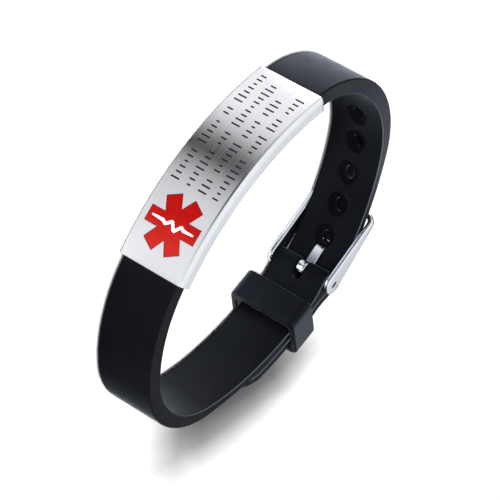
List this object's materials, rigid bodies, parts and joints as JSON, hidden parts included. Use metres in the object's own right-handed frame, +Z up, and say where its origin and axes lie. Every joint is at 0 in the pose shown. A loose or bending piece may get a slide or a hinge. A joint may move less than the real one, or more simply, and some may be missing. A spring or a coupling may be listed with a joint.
{
  "type": "medical id bracelet",
  "caption": "Soft strap bracelet with a curved metal identification plate in a channel, fastened round the wrist by a pin buckle and a keeper.",
  "frame": {"origin": "middle of the bracelet's bounding box on the surface that it lies on", "axes": "+Z up, along the wrist's line; the plate faces -Y and the buckle is at +Y; +X along the plate"},
  "size_m": [0.0702, 0.0512, 0.0151],
  "materials": {
    "strap_rubber": "matte black silicone, fine soft sheen",
    "plate_steel": "finely brushed stainless steel",
    "red_enamel": "smooth glossy red enamel",
    "white_enamel": "smooth glossy white enamel",
    "buckle_steel": "polished stainless steel with satin side faces"
  },
  "bodies": {
    "root": {"strap": "strap_rubber", "id_plate": "plate_steel", "emblem": "red_enamel", "pulse_line": "white_enamel", "keeper": "strap_rubber", "buckle_frame": "buckle_steel", "hinge_pin": "buckle_steel", "tongue": "buckle_steel"}
  },
  "joints": []
}
